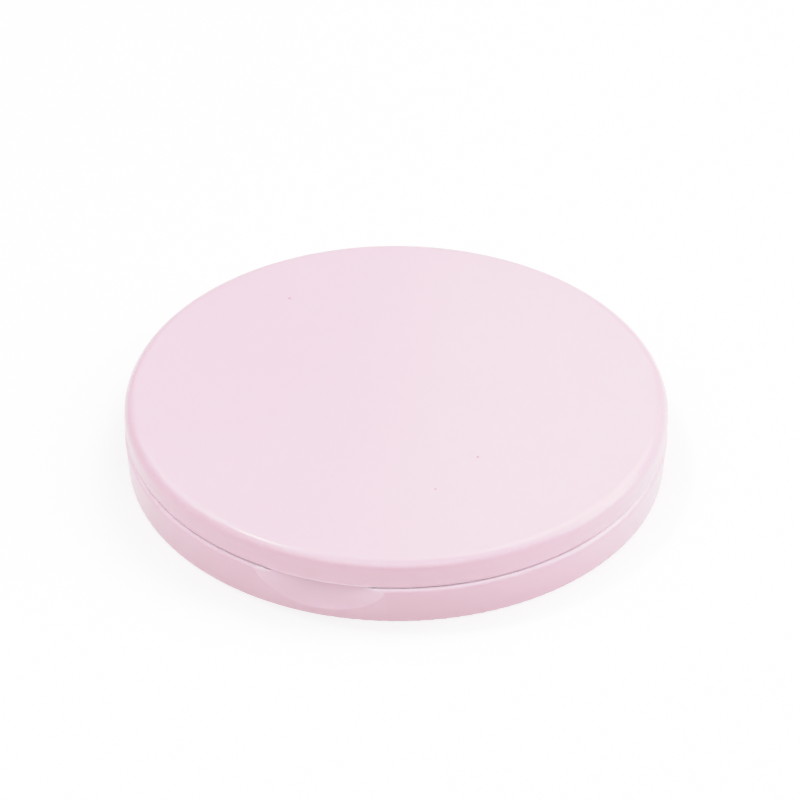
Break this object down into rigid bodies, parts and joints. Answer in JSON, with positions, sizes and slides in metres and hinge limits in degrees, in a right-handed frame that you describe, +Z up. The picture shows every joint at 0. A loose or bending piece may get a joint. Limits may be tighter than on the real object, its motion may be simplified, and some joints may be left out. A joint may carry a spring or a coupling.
{
  "type": "wet palette",
  "caption": "Pocket wet palette in a round hinged plastic case: a water tray with a sponge and membrane paper, a sealed lid with a mixing plate, and a thumb scoop to open it.",
  "frame": {"origin": "centre of the case's underside, on the surface that it rests on", "axes": "+Z up through the lid, -Y towards the thumb scoop, +Y towards the hinge, +X along the hinge pin"},
  "size_m": [0.072, 0.0719, 0.0096],
  "materials": {
    "case_pink": "pale pink moulded plastic with a soft satin gloss",
    "inner_pink": "pale pink moulded plastic, finely textured",
    "pin_steel": "drawn stainless wire",
    "tray_white": "white glossy moulded plastic",
    "sponge_foam": "fine-pored cellulose sponge, damp",
    "membrane_paper": "translucent damp membrane paper",
    "plate_white": "white high-gloss moulded plastic",
    "seal_silicone": "translucent white silicone"
  },
  "bodies": {
    "base": {"base_shell": "case_pink", "base_frame": "inner_pink", "hinge_pin": "pin_steel", "water_tray": "tray_white", "sponge": "sponge_foam", "palette_paper": "membrane_paper"},
    "lid": {"lid_shell": "case_pink", "lid_frame": "inner_pink", "mixing_plate": "plate_white", "lid_seal": "seal_silicone"}
  },
  "joints": [
    {"name": "lid_hinge", "type": "hinge", "parent": "base", "child": "lid", "pos_m": [0, 0.0342, 0.0046], "axis": [-1, 0, 0], "range_deg": [0, 120]}
  ]
}
